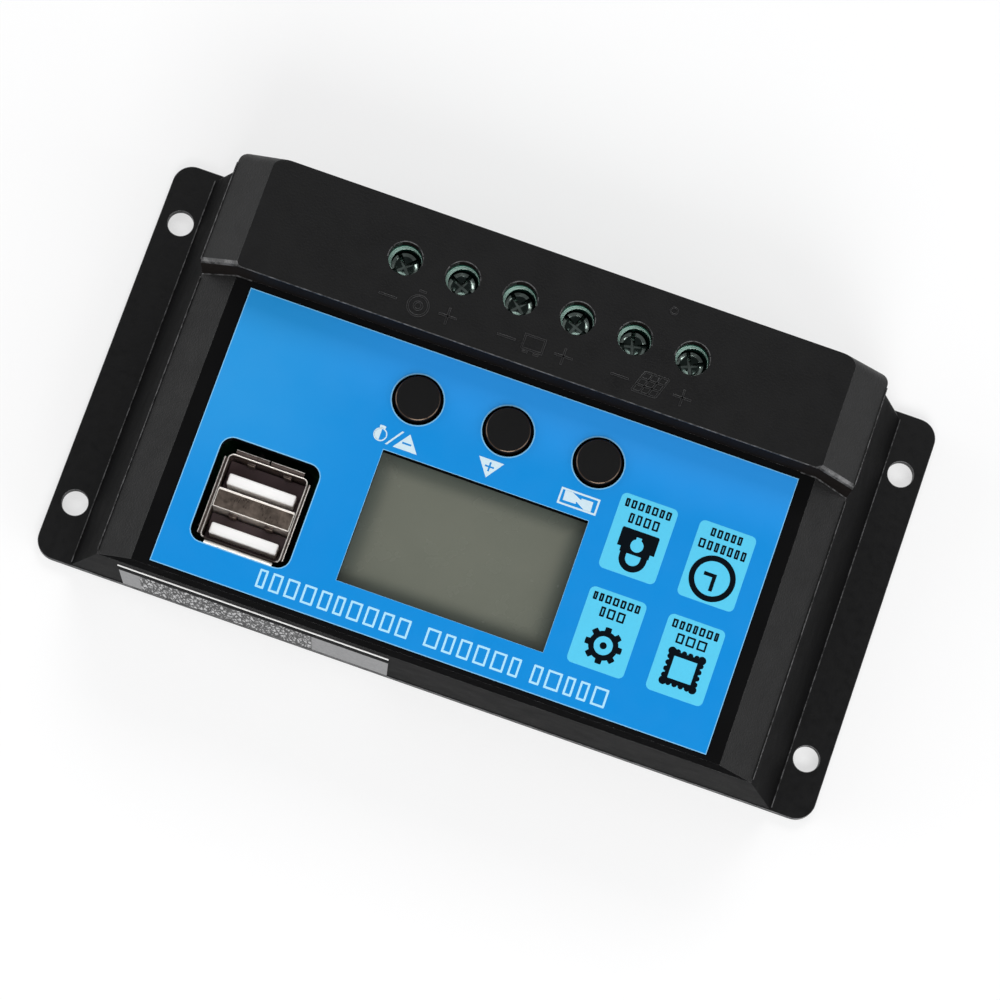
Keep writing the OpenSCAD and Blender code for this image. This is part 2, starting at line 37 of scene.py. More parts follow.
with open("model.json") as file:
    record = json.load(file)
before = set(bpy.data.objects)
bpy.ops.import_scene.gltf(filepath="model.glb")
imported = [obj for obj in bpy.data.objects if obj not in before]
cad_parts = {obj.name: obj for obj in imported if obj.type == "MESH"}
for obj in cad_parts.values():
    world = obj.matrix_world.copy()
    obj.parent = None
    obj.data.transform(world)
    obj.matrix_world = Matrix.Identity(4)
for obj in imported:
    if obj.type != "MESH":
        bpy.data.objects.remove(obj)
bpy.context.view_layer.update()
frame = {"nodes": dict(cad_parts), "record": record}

MM = 0.001
SHARP = 35.0  # edges that bend more than this many degrees stay sharp in the shading
BODY = "case"
BUTTONS = ["minus", "plus", "type"]
CIRCUITS = ["load", "battery", "solar"]
TERMINALS = [f"{circuit}_{pole}" for circuit in CIRCUITS for pole in ("minus", "plus")]
SLOTS = {s["node"]: s["material_slot"] for s in frame["record"]["subparts"]}

# Places on the cover that several pieces share
BAND_Y = -13.4  # the terminal band's front wall
END_X = 47.0  # beyond this the deck and the band slope down to the ends
DECK_X, DECK_Z = 48.3, 28.6  # the end and the height of the deck's flat part
SHOULDER_X, SHOULDER_Z = 54.3, 22.0  # the foot of the deck's end slopes


def span(node):
    """Lowest and highest corner of a CAD node, in millimetres."""
    low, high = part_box(node)
    return low / MM, high / MM


def middle(node):
    low, high = span(node)
    return (low + high) / 2


# ---- Materials ----

MATERIALS = {}


class Paint:
    """A node material, built up around one Principled shader and kept in MATERIALS by its name."""

    def __init__(self, name, color, roughness, metallic=0.0, **constant):
        self.material = MATERIALS[name] = bpy.data.materials.new(name)
        self.material.use_nodes = True
        self.tree = self.material.node_tree
        self.shader = self.tree.nodes["Principled BSDF"]
        self.place = self.tree.nodes.new("ShaderNodeTexCoord").outputs["Object"]
        self.color = self.output("ShaderNodeRGB", (*color, 1))
        self.roughness = self.output("ShaderNodeValue", roughness)
        self.normal = None
        self.shader.inputs["Metallic"].default_value = metallic
        for socket, number in constant.items():
            self.shader.inputs[socket.replace("_", " ")].default_value = number

    def node(self, kind, **settings):
        made = self.tree.nodes.new(kind)
        for name, setting in settings.items():
            setattr(made, name, setting)
        return made

    def plug(self, socket, source):
        if isinstance(source, bpy.types.NodeSocket):
            self.tree.links.new(source, socket)
        else:
            socket.default_value = source

    def feed(self, made, **inputs):
        for name, source in inputs.items():
            self.plug(made.inputs[name.replace("_", " ")], source)
        return made

    def output(self, kind, value):
        """The output of a new node that holds one value."""
        made = self.node(kind)
        made.outputs[0].default_value = value
        return made.outputs[0]

    def scaled(self, size, stretch):
        """The object's own coordinates, with size millimetres as their unit."""
        made = self.node("ShaderNodeVectorMath", operation="MULTIPLY")
        self.plug(made.inputs[0], self.place)
        self.plug(made.inputs[1], [s / (size * MM) for s in stretch])
        return made.outputs[0]

    def noise(self, size, detail=3.0, roughness=0.55, stretch=(1, 1, 1)):
        """Noise from 0 to 1 whose features are about size millimetres across."""
        made = self.feed(self.node("ShaderNodeTexNoise"), Vector=self.scaled(size, stretch),
                         Scale=1.0, Detail=detail, Roughness=roughness)
        return made.outputs[0]

    def cells(self, size, stretch):
        """Random cells, 0 on the lines between them and 1 inside."""
        made = self.feed(self.node("ShaderNodeTexVoronoi", feature="DISTANCE_TO_EDGE"),
                         Vector=self.scaled(size, stretch), Scale=1.0)
        return self.between(made.outputs["Distance"], 0.04, 0.22)

    def wave(self, pitch, direction, distortion):
        """Soft bands across one axis, pitch millimetres apart."""
        made = self.node("ShaderNodeTexWave", wave_type="BANDS", bands_direction=direction,
                         wave_profile="SIN")
        self.feed(made, Vector=self.place, Scale=math.pi / (pitch * MM) / 10, Distortion=distortion)
        return made.outputs["Fac"]

    def axis(self, letter):
        made = self.node("ShaderNodeSeparateXYZ")
        self.plug(made.inputs[0], self.place)
        return made.outputs[letter]

    def between(self, value, low, high, to_low=0.0, to_high=1.0, smooth=False):
        made = self.node("ShaderNodeMapRange", clamp=True)
        if smooth:
            made.interpolation_type = "SMOOTHSTEP"
        self.feed(made, Value=value, From_Min=low, From_Max=high, To_Min=to_low, To_Max=to_high)
        return made.outputs[0]

    def calculate(self, operation, a, b):
        made = self.node("ShaderNodeMath", operation=operation)
        for socket, source in zip(made.inputs, (a, b)):
            self.plug(socket, source)
        return made.outputs[0]

    def tint(self, factor, color):
        """Mixes color into the surface where factor is 1."""
        made = self.node("ShaderNodeMix", data_type="RGBA")
        for socket, source in (("Factor", factor), (6, self.color), (7, (*color, 1))):
            self.plug(made.inputs[socket], source)
        self.color = made.outputs[2]
        return self

    def vary(self, size, amount, **noise):
        """Raises and lowers the roughness by amount over patches of that size."""
        patches = self.between(self.noise(size, **noise), 0.3, 0.7, -amount, amount)
        self.roughness = self.calculate("ADD", self.roughness, patches)
        return self

    def bump(self, height, depth, strength=1.0):
        made = self.node("ShaderNodeBump")
        self.feed(made, Height=height, Distance=depth * MM, Strength=strength)
        if self.normal is not None:
            self.plug(made.inputs["Normal"], self.normal)
        self.normal = made.outputs[0]
        return self

    def done(self):
        sources = {"Base Color": self.color, "Roughness": self.roughness, "Normal": self.normal}
        for name, source in sources.items():
            if source is not None:
                self.plug(self.shader.inputs[name], source)
        return self.material


def moulded(name, color, roughness=0.45, grain=0.3, depth=0.012, light=1.6, **constant):
    """Moulded plastic: a fine spark-eroded grain, faint flow patches and light scuffs."""
    paint = Paint(name, color, roughness, **constant)
    brighter = [min(1.0, c * light) for c in color]
    paint.tint(paint.between(paint.noise(9, detail=4), 0.35, 0.75, 0, 0.55), brighter)
    specks = paint.between(paint.noise(0.35, detail=1), 0.7, 0.8)
    paint.tint(paint.calculate("MULTIPLY", specks, 0.4), [min(1.0, c * light * light) for c in color])
    paint.vary(4, 0.05, detail=4).vary(0.4, 0.03)
    return paint.bump(paint.noise(grain, detail=2), depth).bump(paint.noise(7, detail=2), 0.05, 0.4).done()


def metal(name, color, roughness, brushed=(1, 1, 1), stain=0.6):
    """Plated or drawn metal: fine lines along one axis, dull patches and small pits."""
    paint = Paint(name, color, roughness, metallic=1.0)
    paint.tint(paint.between(paint.noise(1.6, detail=5), 0.42, 0.72, 0, 0.6), [c * stain for c in color])
    paint.vary(0.5, 0.08, stretch=brushed).vary(3, 0.06)
    lines = paint.noise(0.12, detail=2, stretch=brushed)
    return paint.bump(lines, 0.004).bump(paint.noise(0.5, detail=3), 0.006, 0.5).done()


def ink(name, color, roughness=0.4, shine=0.35):
    """Printed ink: a fine screen texture with slightly uneven cover."""
    paint = Paint(name, color, roughness, Specular_IOR_Level=shine)
    thin = paint.between(paint.noise(0.5, detail=4), 0.45, 0.8, 0, 0.12)
    paint.tint(thin, [c * 0.7 for c in color])
    return paint.vary(2.5, 0.04).bump(paint.noise(0.25, detail=2), 0.003).done()


def edge_highlight(name, color, highlight_color, roughness, shine, patch, unevenness, full, depth):
    """Painted highlight on edges and on the tops of beads: a lighter colour, dull in places and lighter
    still in others.
    """
    paint = Paint(name, color, roughness, Specular_IOR_Level=shine)
    paint.tint(paint.between(paint.noise(patch, detail=4, roughness=unevenness), 0.42, full), highlight_color)
    return paint.vary(1, 0.06).bump(paint.noise(0.3, detail=2), depth).done()


def powder_coat():
    """Matt paint with a fine orange-peel surface and a few paler specks."""
    paint = Paint("painted_plate", (0.0034, 0.0034, 0.0037), 0.5, Specular_IOR_Level=0.25)
    paint.tint(paint.between(paint.noise(0.5, detail=2), 0.62, 0.78, 0, 0.35), (0.012, 0.012, 0.013))
    paint.vary(1.2, 0.08, detail=4)
    return paint.bump(paint.noise(0.9, detail=2), 0.035).bump(paint.noise(0.25, detail=1), 0.01).done()


def label_film():
    """Blue film, with painted light beside the band, against the band's shadow, and beside the socket."""
    paint = Paint("blue_label", (0.0015, 0.25, 0.68), 0.36, Specular_IOR_Level=0.36)
    paint.tint(paint.between(paint.noise(14, detail=3), 0.3, 0.75, 0, 0.3), (0.003, 0.272, 0.71))
    paint.tint(paint.between(paint.noise(0.2, detail=1), 0.5, 0.9, 0, 0.12), (0.01, 0.2, 0.62))
    # Painted light: lighter towards the band, where the band shades the film.
    paint.tint(paint.between(paint.axis("Y"), 1.5 * MM, -12 * MM, 0, 1, smooth=True), (0.024, 0.32, 0.85))
    # Painted light: lighter in the corner by the socket.
    corner = paint.calculate("MULTIPLY", paint.between(paint.axis("X"), 12 * MM, 44 * MM, smooth=True),
                             paint.between(paint.axis("Y"), 26 * MM, 4 * MM, smooth=True))
    paint.tint(corner, (0.018, 0.3, 0.72))
    paint.vary(5, 0.04)
    return paint.bump(paint.noise(0.3, detail=2), 0.004).bump(paint.noise(16, detail=2), 0.12, 0.3).done()


def display_film(window_low, window_high):
    """Grey-green polariser behind glass, with painted shade towards the edges of the window, where its
    frame shades it.
    """
    paint = Paint("display_film", (0.15, 0.158, 0.127), 0.25, Coat_Weight=0.3, Coat_Roughness=0.06)
    # Painted shade: darker within reach of each edge of the window.
    reach = 3.6 * MM
    edges = None
    for letter, low, high in (("X", window_low[0], window_high[0]), ("Y", window_low[1], window_high[1])):
        along = paint.axis(letter)
        for start, end in ((low * MM, low * MM + reach), (high * MM, high * MM - reach)):
            shade = paint.between(along, start, end, 0.7, 0.0, smooth=True)
            edges = shade if edges is None else paint.calculate("MAXIMUM", edges, shade)
    paint.tint(edges, (0.058, 0.076, 0.066))
    paint.tint(paint.between(paint.noise(11, detail=3), 0.4, 0.75, 0, 0.35), (0.115, 0.128, 0.102))
    paint.tint(paint.between(paint.noise(0.25, detail=1), 0.5, 0.9, 0, 0.12), (0.11, 0.12, 0.1))
    return paint.vary(5, 0.05).bump(paint.noise(0.4, detail=2), 0.002).done()


def sticker_film(weave_low, weave_high):
    """Silver film with a woven security pattern over most of its length."""
    paint = Paint("silver_sticker", (0.222, 0.222, 0.226), 0.5, metallic=0.2, Specular_IOR_Level=0.2)
    paint.tint(paint.between(paint.noise(6, detail=3), 0.4, 0.8, 0, 0.3), (0.2, 0.2, 0.21))
    tall = (1, 1, 0.25)
    specks = paint.noise(0.5, detail=3, roughness=0.8, stretch=tall)
    weave = paint.calculate("MULTIPLY", paint.cells(0.8, tall), paint.between(specks, 0.46, 0.52))
    along = paint.axis("X")
    inside = paint.calculate("MULTIPLY",
                             paint.between(along, weave_low * MM, (weave_low + 0.3) * MM),
                             paint.between(along, weave_high * MM, (weave_high - 0.3) * MM))
    paint.tint(paint.calculate("MULTIPLY", weave, inside), (0.5, 0.5, 0.505))
    dark = paint.between(weave, 0.1, 0.5, 1.0, 0.0)
    paint.tint(paint.calculate("MULTIPLY", dark, inside), (0.008, 0.008, 0.009))
    return paint.vary(0.6, 0.08).bump(weave, 0.006).done()


def board_mask():
    """Solder mask over copper tracks, with tinned pads and a fine weave."""
    paint = Paint("circuit_board", (0.008, 0.09, 0.032), 0.32, Coat_Weight=0.3, Coat_Roughness=0.15)
    tracks = paint.between(paint.wave(2.6, "Y", 4.0), 0.55, 0.62)
    patches = paint.between(paint.noise(9, detail=1), 0.48, 0.5)
    paint.tint(paint.calculate("MULTIPLY", tracks, patches), (0.018, 0.16, 0.055))
    pads = paint.between(paint.noise(2.2, detail=0), 0.72, 0.73)
    paint.tint(pads, (0.42, 0.42, 0.4))
    return paint.vary(2, 0.05).bump(tracks, 0.03, 0.6).bump(paint.noise(0.4, detail=1), 0.005).done()


def wound_wire():
    """Varnished copper wire, wound turn by turn, with painted shade in the grooves between the turns."""
    paint = Paint("copper_wire", (0.52, 0.2, 0.07), 0.3, metallic=0.9, Coat_Weight=0.4)
    turns = paint.wave(0.45, "Z", 0.6)
    # Painted shade: darker in the grooves between turns.
    paint.tint(paint.between(turns, 0.0, 0.35, 0.8, 0.0), (0.09, 0.03, 0.012))
    return paint.vary(1, 0.06).bump(turns, 0.12).done()


def sleeve():
    """Shrunk plastic sleeve, a little wrinkled."""
    paint = Paint("capacitor_sleeve", (0.012, 0.022, 0.075), 0.28, Coat_Weight=0.3)
    paint.tint(paint.between(paint.noise(3, detail=3), 0.4, 0.8, 0, 0.4), (0.02, 0.035, 0.11))
    return paint.vary(2, 0.05).bump(paint.noise(1.6, detail=3), 0.03, 0.5).done()


moulded("case_plastic", (0.0022, 0.0022, 0.0024), 0.5, grain=0.35, depth=0.035, Specular_IOR_Level=0.28)
# Lit and shaded copies of case_plastic, picked by the way a face faces: case_side, case_front, band_side
# and band_face are painted lighter, as painted light; case_shade, with almost no sheen, is painted shade;
# deck_side differs only in sheen and grain.
moulded("case_side", (0.0028, 0.0028, 0.003), 0.82, grain=0.5, depth=0.03, Specular_IOR_Level=0.06)
moulded("case_front", (0.0036, 0.0036, 0.0038), 0.82, grain=0.5, depth=0.03, Specular_IOR_Level=0.1)
moulded("case_shade", (0.0022, 0.0022, 0.0024), 0.85, grain=0.5, depth=0.03, Specular_IOR_Level=0.005)
moulded("band_side", (0.009, 0.009, 0.0092), 0.5, depth=0.08, Specular_IOR_Level=0.28)
moulded("band_face", (0.0072, 0.0058, 0.0053), 0.8, grain=0.5, depth=0.03, Specular_IOR_Level=0.05)
moulded("deck_side", (0.0022, 0.0022, 0.0024), 0.5, depth=0.1, Specular_IOR_Level=0.23)
# case_edge and bead_plastic are painted highlights: far lighter copies of the case plastic for edges,
# beads and hole rims.
edge_highlight("case_edge", (0.035, 0.035, 0.036), (0.13, 0.13, 0.132), 0.3, shine=0.8,
       patch=2.2, unevenness=0.7, full=0.58, depth=0.008)
edge_highlight("bead_plastic", (0.012, 0.012, 0.012), (0.12, 0.12, 0.122), 0.4, shine=0.5,
       patch=1.1, unevenness=0.75, full=0.6, depth=0.006)
# mark_edge: a painted highlight, a lighter copy of the case plastic for the edges of the band's symbols.
moulded("mark_edge", (0.04, 0.04, 0.041), 0.3, depth=0.006, light=1.3)
# button_rim: a painted highlight, warm and lighter than the cap, for the thin arc on each button's rim.
moulded("button_rim", (0.022, 0.013, 0.009), 0.18, depth=0.001, light=1.3,
        Specular_Tint=(1, 0.72, 0.52, 1), Specular_IOR_Level=0.9)
moulded("socket_backing", (0.07, 0.046, 0.052), 0.5, light=1.4)
powder_coat()
label_film()
ink("label_edge", (0.2, 0.52, 0.82))
ink("cyan_ink", (0.095, 0.585, 0.85))
ink("dark_ink", (0.0006, 0.003, 0.006), 0.55, 0.07)
ink("white_ink", (0.62, 0.78, 0.86))
ink("pale_ink", (0.42, 0.76, 0.95))
display_film(window_low=(-16.8, 5.3), window_high=(17.2, 27.3))
moulded("display_glass", (0.3, 0.33, 0.29), 0.08, depth=0.001, light=1.05,
        Coat_Weight=1.0, Coat_Roughness=0.03)
moulded("light_guide", (0.72, 0.76, 0.7), 0.2, depth=0.003, light=1.1)
moulded("button_plastic", (0.0025, 0.0025, 0.0027), 0.55, depth=0.008, Specular_IOR_Level=0.18)
moulded("stem_plastic", (0.3, 0.02, 0.018), 0.35)
moulded("dark_moulding", (0.014, 0.0125, 0.014), 0.5, light=1.9)
moulded("green_block", (0.03, 0.16, 0.11), 0.3, depth=0.006, light=1.25)
# green_bore is painted shade for the bore walls, and green_lip a painted highlight for the bore rims and
# the ledges: darker and lighter copies of green_block.
moulded("green_bore", (0.006, 0.035, 0.025), 0.35, depth=0.006, light=1.5)
moulded("green_lip", (0.5, 0.76, 0.66), 0.25, depth=0.006, light=1.2)
moulded("white_moulding", (0.95, 0.94, 0.93), 0.35, depth=0.006, light=1.05)
moulded("ferrite", (0.035, 0.035, 0.038), 0.7, grain=0.4, depth=0.02)
moulded("thermal_pad", (0.2, 0.3, 0.38), 0.8, grain=0.8, depth=0.03, light=1.2)
sleeve()
board_mask()
wound_wire()
# steel_screw is darkened and tinted green, as painted shade and a painted reflection of the green block;
# bright_steel, tinted green too, is a painted highlight.
metal("steel_screw", (0.1, 0.14, 0.125), 0.16, stain=0.35)
metal("black_zinc", (0.09, 0.09, 0.095), 0.3, stain=0.5)
metal("bright_steel", (0.6, 0.74, 0.67), 0.13, stain=0.1)
metal("tinned_metal", (0.6, 0.61, 0.62), 0.28, brushed=(1, 1, 8))
metal("socket_shell", (0.33, 0.265, 0.22), 0.34, brushed=(3, 1, 1), stain=0.15)
# socket_edge is a painted highlight and socket_shade painted shade: lighter and darker copies of the shell
# metal.
metal("socket_edge", (0.95, 0.9, 0.84), 0.42, stain=0.8)
metal("socket_shade", (0.07, 0.055, 0.05), 0.38)
metal("contact_metal", (0.74, 0.53, 0.2), 0.25, brushed=(1, 1, 8))
metal("bare_aluminium", (0.64, 0.65, 0.67), 0.34, brushed=(1, 12, 12))
sticker_film(weave_low=18.4, weave_high=47.8)


# ---- Mesh helpers ----

def mark_sharp(bm, sharp=SHARP):
    """Keeps the open edges, and those that bend more than sharp degrees, sharp in the shading."""
    for edge in bm.edges:
        edge.smooth = len(edge.link_faces) == 2 and edge.calc_face_angle() < math.radians(sharp)


def new_object(name, data):
    made = bpy.data.objects.new(name, data)
    bpy.context.scene.collection.objects.link(made)
    return made


def new_mesh(name, bm):
    mesh = bpy.data.meshes.new(name)
    bm.to_mesh(mesh)
    bm.free()
    return mesh


def worked_out(thing):
    """A new mesh of what an object looks like with its curve or its modifiers applied."""
    bpy.context.view_layer.update()
    return bpy.data.meshes.new_from_object(thing.evaluated_get(bpy.context.evaluated_depsgraph_get()))


def to_piece(name, bm, materials, body=BODY, replaced=(), sharp=SHARP):
    """Turns a mesh in millimetres into a piece in metres that rides on a body."""
    bmesh.ops.recalc_face_normals(bm, faces=bm.faces)
    for face in bm.faces:
        face.smooth = True
    mark_sharp(bm, sharp)
    bmesh.ops.scale(bm, vec=(MM, MM, MM), verts=bm.verts)
    piece = new_object(name, new_mesh(name, bm))
    for material in materials:
        piece.data.materials.append(MATERIALS[material])
    piece.modifiers.new("even_normals", "WEIGHTED_NORMAL").keep_sharp = True
    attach(piece, body)
    if replaced:
        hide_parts(*replaced)
    return piece


def node_mesh(node):
    """A CAD node's mesh in millimetres, with its flat faces whole again."""
    bm = bmesh.new()
    bm.from_mesh(frame["nodes"][node].data)
    bmesh.ops.scale(bm, vec=(1 / MM, 1 / MM, 1 / MM), verts=bm.verts)
    bmesh.ops.remove_doubles(bm, verts=bm.verts, dist=0.002)
    bmesh.ops.dissolve_limit(bm, angle_limit=math.radians(0.4), verts=bm.verts, edges=bm.edges)
    return bm


def soften(bm, radius, segments=2, edge_material=-1, only=None):
    """Rounds the edges that bend enough, or those of them that only() picks."""
    bend = math.radians(28)
    edges = [e for e in bm.edges if len(e.link_faces) == 2
             and e.calc_face_angle() > bend and (only is None or only(e))]
    if edges:
        bmesh.ops.bevel(bm, geom=edges, offset=radius, offset_type="OFFSET", segments=segments,
                        profile=0.5, affect="EDGES", clamp_overlap=True, material=edge_material)


def refine(node, radius, material, body=BODY):
    """A CAD node's own shape with its edges rounded."""
    bm = node_mesh(node)
    soften(bm, radius)
    to_piece(node + "_finished", bm, [material], body, [node])


def arc(x, y, r, a0, a1, steps=8):
    """Points on a circle from angle a0 to a1, in degrees."""
    angles = [math.radians(a0 + (a1 - a0) * i / steps) for i in range(steps + 1)]
    return [(x + r * math.cos(a), y + r * math.sin(a)) for a in angles]


def circle(x, y, r, steps=48):
    return arc(x, y, r, 0, 360 * (steps - 1) / steps, steps - 1)


def rectangle(x0, y0, x1, y1, r=0.0, steps=5):
    """A rectangle, with round corners where r is above 0."""
    if not r:
        return [(x0, y0), (x1, y0), (x1, y1), (x0, y1)]
    return (arc(x1 - r, y1 - r, r, 0, 90, steps) + arc(x0 + r, y1 - r, r, 90, 180, steps)
            + arc(x0 + r, y0 + r, r, 180, 270, steps) + arc(x1 - r, y0 + r, r, 270, 360, steps))


def flat_shape(bm, outlines, z0, z1, edge=0.0, edge_material=0):
    """Adds a flat plate between z0 and z1, with every outline inside another cut out of it."""
    curve = bpy.data.curves.new("outline", "CURVE")
    curve.dimensions = "2D"
    curve.fill_mode = "BOTH"
    for outline in outlines:
        spline = curve.splines.new("POLY")
        spline.points.add(len(outline) - 1)
        for point, (x, y) in zip(spline.points, outline):
            point.co = (x, y, 0, 1)
        spline.use_cyclic_u = True
    curve.extrude = (z1 - z0) / 2 - edge
    curve.bevel_depth = edge
    curve.offset = -edge
    curve.bevel_resolution = 1
    holder = new_object("outline", curve)
    filled = worked_out(holder)
    bpy.data.objects.remove(holder)
    bpy.data.curves.remove(curve)
    filled.transform(Matrix.Translation((0, 0, (z0 + z1) / 2)))
    first = len(bm.faces)
    bm.from_mesh(filled)
    bpy.data.meshes.remove(filled)
    bm.faces.ensure_lookup_table()
    for face in bm.faces[first:]:
        face.material_index = 0 if abs(face.normal.z) > 0.99 else edge_material
    bmesh.ops.remove_doubles(bm, verts=bm.verts, dist=0.0005)


def spun(bm, profile, x, y, steps):
    """Adds a solid of revolution: profile is (radius, z) from the bottom centre to the top centre."""
    rings = []
    for radius, z in profile:
        if radius < 1e-6:
            rings.append([bm.verts.new((x, y, z))])
        else:
            rings.append([bm.verts.new((x + px, y + py, z)) for px, py in circle(0, 0, radius, steps)])
    for low, high in zip(rings, rings[1:]):
        for i in range(steps):
            j = (i + 1) % steps
            corners = [low[i % len(low)], low[j % len(low)], high[j % len(high)], high[i % len(high)]]
            bm.faces.new(list(dict.fromkeys(corners)))


def block(bm, low, high, radius=0.0, material=0, segments=2):
    """Adds a box from corner to corner, with rounded edges where radius is above 0."""
    low, high = Vector(low), Vector(high)
    made = bmesh.ops.create_cube(bm, size=1.0, matrix=Matrix.Translation((low + high) / 2)
                                 @ Matrix.Diagonal((*(high - low), 1)))
    faces = list({f for v in made["verts"] for f in v.link_faces})
    for face in faces:
        face.material_index = material
    if radius:
        edges = list({e for v in made["verts"] for e in v.link_edges})
        bmesh.ops.bevel(bm, geom=edges, offset=radius, segments=segments, profile=0.5,
                        affect="EDGES", clamp_overlap=True, material=-1)


# ---- Case ----

CASE_MATERIALS = ["case_plastic", "case_edge", "case_side", "case_front", "case_shade", "band_side",
                  "deck_side", "band_face"]
PLAIN, EDGE, SIDE, FRONT, SHADE, BAND_SIDE, DECK_SIDE, BAND_FACE = range(len(CASE_MATERIALS))


def case_material(node, face):
    """The material of a face of the tray or the cover, by its place and the way it faces; this picks its
    painted light, painted shade or painted edge highlight.
    """
    normal, spot = face.normal, face.calc_center_median()
    if face.material_index == EDGE:
        # No painted edge highlight on the tray's upright front corners.
        front_corner = node == "tray" and normal.y > 0.3 and abs(normal.x) > 0.3
        return SIDE if front_corner else EDGE
    if node == "tray":
        if abs(normal.z) < 0.6 and normal.y > -0.6:
            return FRONT if normal.y > 0.6 else SIDE
    elif normal.y > 0.9:
        # Painted shade on the cover's front, painted light on the band's front wall.
        return SHADE if spot.y > 0 else BAND_FACE
    elif abs(normal.x) > 0.4 and abs(spot.x) > END_X:
        return DECK_SIDE if spot.y > BAND_Y else BAND_SIDE
    elif normal.z > 0.95 and spot.z < DECK_Z + 0.1:
        return SIDE
    return PLAIN


def case_parts():
    """Plate, tray and cover, with two large radii at the back, a painted highlight on their edges, and
    matt side walls.
    """
    bm = node_mesh("mounting_plate")
    soften(bm, 0.16, edge_material=EDGE)
    to_piece("mounting_plate_finished", bm, ["painted_plate", "case_edge"],
             replaced=["mounting_plate"])
    for node, reach, back_radius in (("tray", 52.0, 2.0), ("cover", END_X, 1.7)):
        back = span(node)[0].y

        def at_back_corner(edge, reach=reach, back=back):
            """An upright edge at one of the two back corners."""
            ends = [v.co for v in edge.verts]
            return (all(abs(c.x) > reach and c.y < back + 1.9 for c in ends)
                    and abs(ends[0].z - ends[1].z) > 1.5)

        def at_band_shoulder(edge):
            """An edge between the band's front wall and the slope at one of its ends."""
            ends = [v.co for v in edge.verts]
            return (all(abs(c.x) > END_X and abs(c.y - BAND_Y) < 0.2 and c.z > DECK_Z + 0.4 for c in ends)
                    and 3 < abs(ends[0].x - ends[1].x) < 9)

        bm = node_mesh(node)
        soften(bm, back_radius, segments=6, only=at_back_corner)
        soften(bm, 0.7, edge_material=EDGE, only=at_band_shoulder)
        soften(bm, 0.14, edge_material=EDGE)
        bm.normal_update()
        for face in bm.faces:
            face.material_index = case_material(node, face)
        to_piece(node + "_finished", bm, CASE_MATERIALS, replaced=[node])


def beads():
    """Fine raised beads at the foot, the shoulder and the lip of the band, and round the driver holes, in
    bead_plastic, a painted highlight.
    """
    low, high = span("tray")
    roof = span("cover")[1].z
    plate_top = span("mounting_plate")[1].z
    band_foot_z, height = 29.6, 0.14
    bm = bmesh.new()
    for side in (-1, 1):
        for x, y0, y1, z, wide in ((high.x, low.y + 1.2, high.y - 0.4, plate_top, 0.18),
                                   (SHOULDER_X, BAND_Y + 0.6, high.y - 0.6, SHOULDER_Z, 0.16),
                                   (SHOULDER_X, low.y + 4.4, BAND_Y - 0.3, band_foot_z, 0.16)):
            x0, x1 = sorted((side * x, side * (x + wide)))
            block(bm, (x0, y0, z - 0.05), (x1, y1, z + height), 0.06)
    block(bm, (-DECK_X, BAND_Y - 0.04, roof - 0.12), (DECK_X, BAND_Y + 0.12, roof + 0.04), 0.05)
    for side in (-1, 1):  # up the slope at the foot of the band's front wall
        path = [(side * SHOULDER_X, SHOULDER_Z), (side * DECK_X, DECK_Z), (side * (DECK_X - 2.6), DECK_Z)]
        section = ((-0.1, -0.1), (0.18, -0.1), (0.18, height), (-0.1, height))
        rings = [[bm.verts.new((x, BAND_Y + y, z + rise)) for y, rise in section] for x, z in path]
        for a, b in zip(rings, rings[1:]):
            for i in range(4):
                bm.faces.new((a[i], a[(i + 1) % 4], b[(i + 1) % 4], b[i]))
        bm.faces.new(rings[0][::-1])
        bm.faces.new(rings[-1])
    bmesh.ops.recalc_face_normals(bm, faces=bm.faces)
    to_piece("beads", bm, ["bead_plastic"])
    bm = bmesh.new()
    for terminal in TERMINALS:
        x, y = middle("screw_" + terminal).xy
        # Only arcs of each rim, where it catches the light: a painted highlight.
        for a0, a1 in ((-150, -30), (-25, 10), (175, 205)):
            flat_shape(bm, [arc(x, y, 2.88, a0, a1, 14) + arc(x, y, 2.74, a1, a0, 14)],
                       roof - 0.05, roof + 0.05, 0.03)
    to_piece("driver_hole_rims", bm, ["bead_plastic"])


